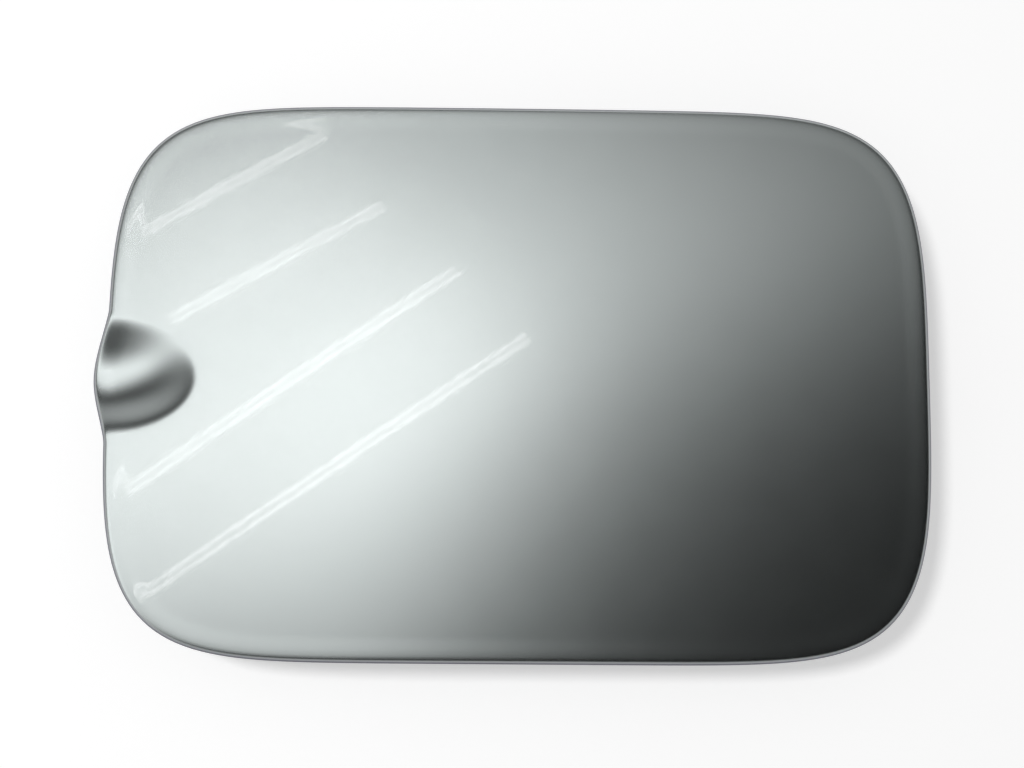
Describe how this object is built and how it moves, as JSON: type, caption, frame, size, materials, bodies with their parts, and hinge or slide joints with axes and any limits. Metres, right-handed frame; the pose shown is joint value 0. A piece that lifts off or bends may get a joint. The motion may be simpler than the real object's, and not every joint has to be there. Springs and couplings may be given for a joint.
{
  "type": "fuel filler flap",
  "caption": "Crowned, hemmed steel fuel filler flap with a finger scoop in its free edge, an inner panel, rubber buffers, a lock striker and a sprung hinge on a screw-on bracket.",
  "frame": {"origin": "on the surface that the flap lies on, under the middle of its overall box, the scoop's lip included", "axes": "+X from the free edge with the scoop to the hinge edge, +Y along the hinge axis towards the upper edge, +Z out of the painted face"},
  "size_m": [0.2042, 0.1362, 0.0255],
  "materials": {
    "silver_paint": "silver metallic base coat under gloss clear coat",
    "inner_paint": "thin body colour overspray over primer",
    "mastic": "cured body mastic",
    "buffer_rubber": "moulded black rubber",
    "black_plastic": "moulded black plastic",
    "zinc_plate": "zinc plated steel",
    "hinge_steel": "black dip-coated pressed steel",
    "bush_plastic": "natural nylon",
    "pin_steel": "plated steel pin",
    "spring_steel": "blued spring steel"
  },
  "bodies": {
    "hinge_mount": {"hinge_bracket": "hinge_steel", "hinge_pin": "pin_steel", "pin_clip": "spring_steel", "leaf_spring": "spring_steel", "spring_rivet": "zinc_plate"},
    "flap": {"outer_skin": "silver_paint", "inner_panel": "inner_paint", "mastic_pads": "mastic", "buffer_front_upper": "buffer_rubber", "buffer_front_lower": "buffer_rubber", "buffer_rear_upper": "buffer_rubber", "buffer_rear_lower": "buffer_rubber", "striker": "black_plastic", "striker_screws": "zinc_plate", "hinge_leaf": "hinge_steel", "leaf_rivets": "zinc_plate", "bush_upper": "bush_plastic", "bush_lower": "bush_plastic"}
  },
  "joints": [
    {"name": "flap_hinge", "type": "hinge", "parent": "hinge_mount", "child": "flap", "pos_m": [0.0911, 0, 0.014], "axis": [0, 1, 0], "range_deg": [0, 100]}
  ]
}
